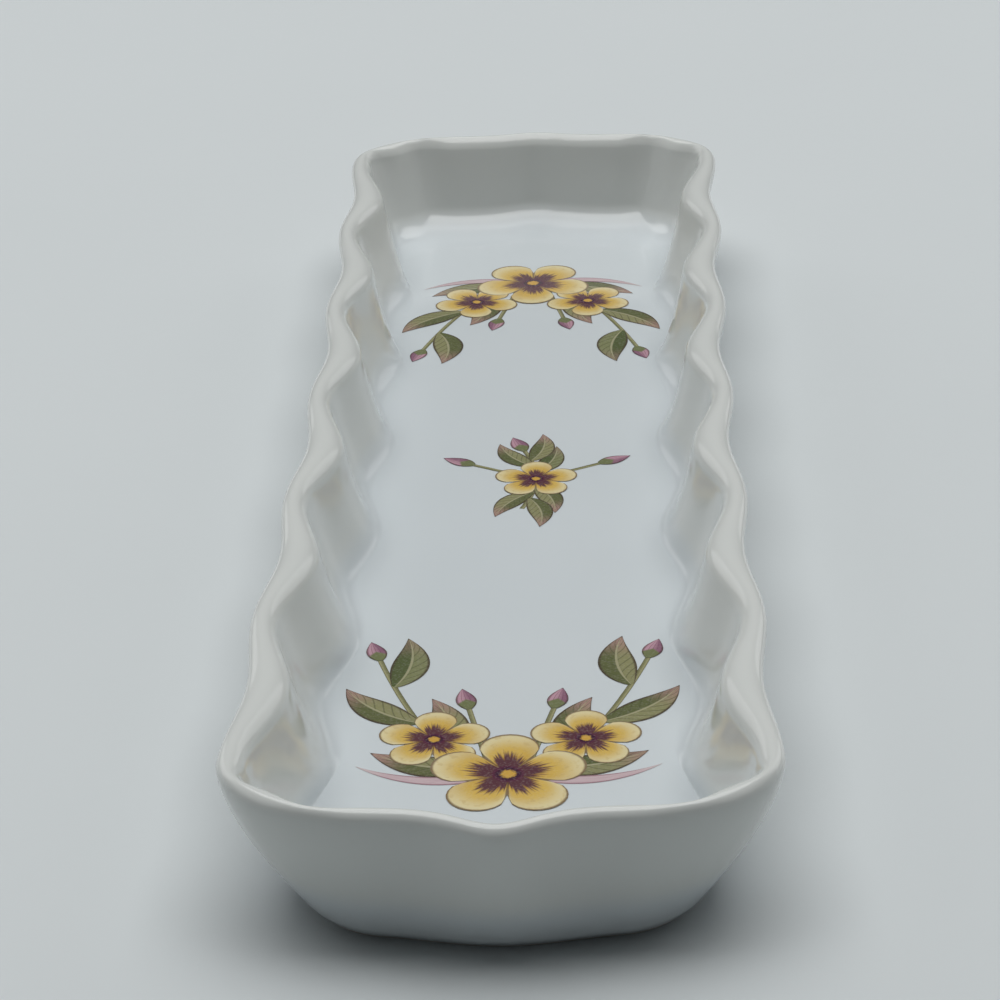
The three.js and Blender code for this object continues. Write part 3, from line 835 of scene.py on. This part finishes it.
def sheet_object(name, groups, layer, material):
    """Printed sheets laid on the floor as one piece, each a little above the one before it."""
    points, faces, uvs = [], [], []
    first = 0
    number = 0
    for sheets in groups:
        count, along, across = sheets.shape[:3]
        order = number + np.arange(count)
        height = FLOOR_TOP + layer + order * SHEET_STEP
        level = np.broadcast_to(height[:, None, None, None], (count, along, across, 1))
        points.append(np.concatenate([sheets, level], 3).reshape(-1, 3))
        u = order[:, None, None] + np.linspace(0, SHEET_SPAN, along)[:, None]
        v = np.linspace(0, 1, across)
        uvs.append(np.stack(np.broadcast_arrays(u, v), 3).reshape(-1, 2))
        index = first + np.arange(count * along * across).reshape(count, along, across)
        corners = [index[:, :-1, :-1], index[:, :-1, 1:], index[:, 1:, 1:], index[:, 1:, :-1]]
        faces.append(np.stack(corners, 3)[..., ::-1].reshape(-1, 4))
        first += count * along * across
        number += count
    joined = np.concatenate(faces).tolist()
    return mesh_object(name, np.concatenate(points), joined, material, np.concatenate(uvs))


def lay_print(name, drawing, node, inks):
    """Lays one drawing on the tray floor, a piece for each kind of motif."""
    for key, (layer, ink) in inks.items():
        if key in drawing:
            piece = sheet_object(f"{name}_{key}", drawing[key], layer, ink)
            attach(piece, "root")
            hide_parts(node)


def soft_light(name, place, aim, size, power):
    """A white rectangular area light turned from its place to its aim."""
    lamp = bpy.data.lights.new(name, "AREA")
    lamp.shape = "RECTANGLE"
    lamp.size, lamp.size_y = size
    lamp.energy = power
    made = bpy.data.objects.new(name, lamp)
    made.location = place
    away = np.array(place) - np.array(aim)
    made.rotation_euler = (
        math.atan2(math.hypot(away[0], away[1]), away[2]),
        0.0,
        math.atan2(away[0], -away[1]),
    )
    bpy.context.scene.collection.objects.link(made)


# The tray.
tray = tray_object(porcelain_glaze())
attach(tray, "root")
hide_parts("tray_body")

# The prints on its floor.
petal_print = print_finish("petal_print", petal_ink)
stalk_print = print_finish("stalk_print", stalk_ink)
INKS = {
    "stem": (STALK_LAYER, stalk_print),
    "bud_stalks": (STALK_LAYER + SHEET_STEP, stalk_print),
    "ribbons": (RIBBON_LAYER, print_finish("ribbon_print", ribbon_ink)),
    "leaves": (LEAF_LAYER, print_finish("leaf_print", leaf_ink)),
    "buds": (BUD_LAYER, print_finish("bud_print", bud_ink)),
    "side_petals": (SIDE_PETAL_LAYER, petal_print),
    "main_petals": (MAIN_PETAL_LAYER, petal_print),
    "eyes": (EYE_LAYER, print_finish("blossom_eye_print", eye_ink)),
}
near_spray = placed(spray_drawing(), -SPRAY_PLACE, 1)
far_spray = placed(spray_drawing(), SPRAY_PLACE, -1)
middle_sprig = placed(sprig_drawing(), SPRIG_PLACE, 1)
lay_print("near_spray", near_spray, "near_spray_transfer", INKS)
lay_print("far_spray", far_spray, "far_spray_transfer", INKS)
lay_print("middle_sprig", middle_sprig, "middle_sprig_transfer", INKS)

# The table it stands on.
table_points = np.array([[-1, -1, 0], [1, -1, 0], [1, 1, 0], [-1, 1, 0]], float) * TABLE_HALF
table = mesh_object("table_top", table_points, [[0, 1, 2, 3]], table_finish())

# Soft light from above, from the back and from both sides, with a dim room in front.
for light_name, light in LIGHTS.items():
    soft_light(light_name, *light)
world = bpy.data.worlds.new("dim_room")
world.use_nodes = True
world.node_tree.nodes["Background"].inputs["Color"].default_value = ROOM_TINT
world.node_tree.nodes["Background"].inputs["Strength"].default_value = ROOM_STRENGTH
bpy.context.scene.world = world

# The camera at the photograph's viewing angle.
lens = bpy.data.cameras.new("camera")
lens.sensor_width = CAMERA_SENSOR
lens.lens = CAMERA_LENS
camera = bpy.data.objects.new("camera", lens)
camera.location = CAMERA_PLACE
tilted = Matrix.Rotation(CAMERA_PITCH, 3, "X") @ Matrix.Rotation(CAMERA_ROLL, 3, "Z")
camera.rotation_euler = (Matrix.Rotation(CAMERA_YAW, 3, "Z") @ tilted).to_euler()
bpy.context.scene.collection.objects.link(camera)
bpy.context.scene.camera = camera
bpy.context.scene.view_settings.view_transform = "Standard"
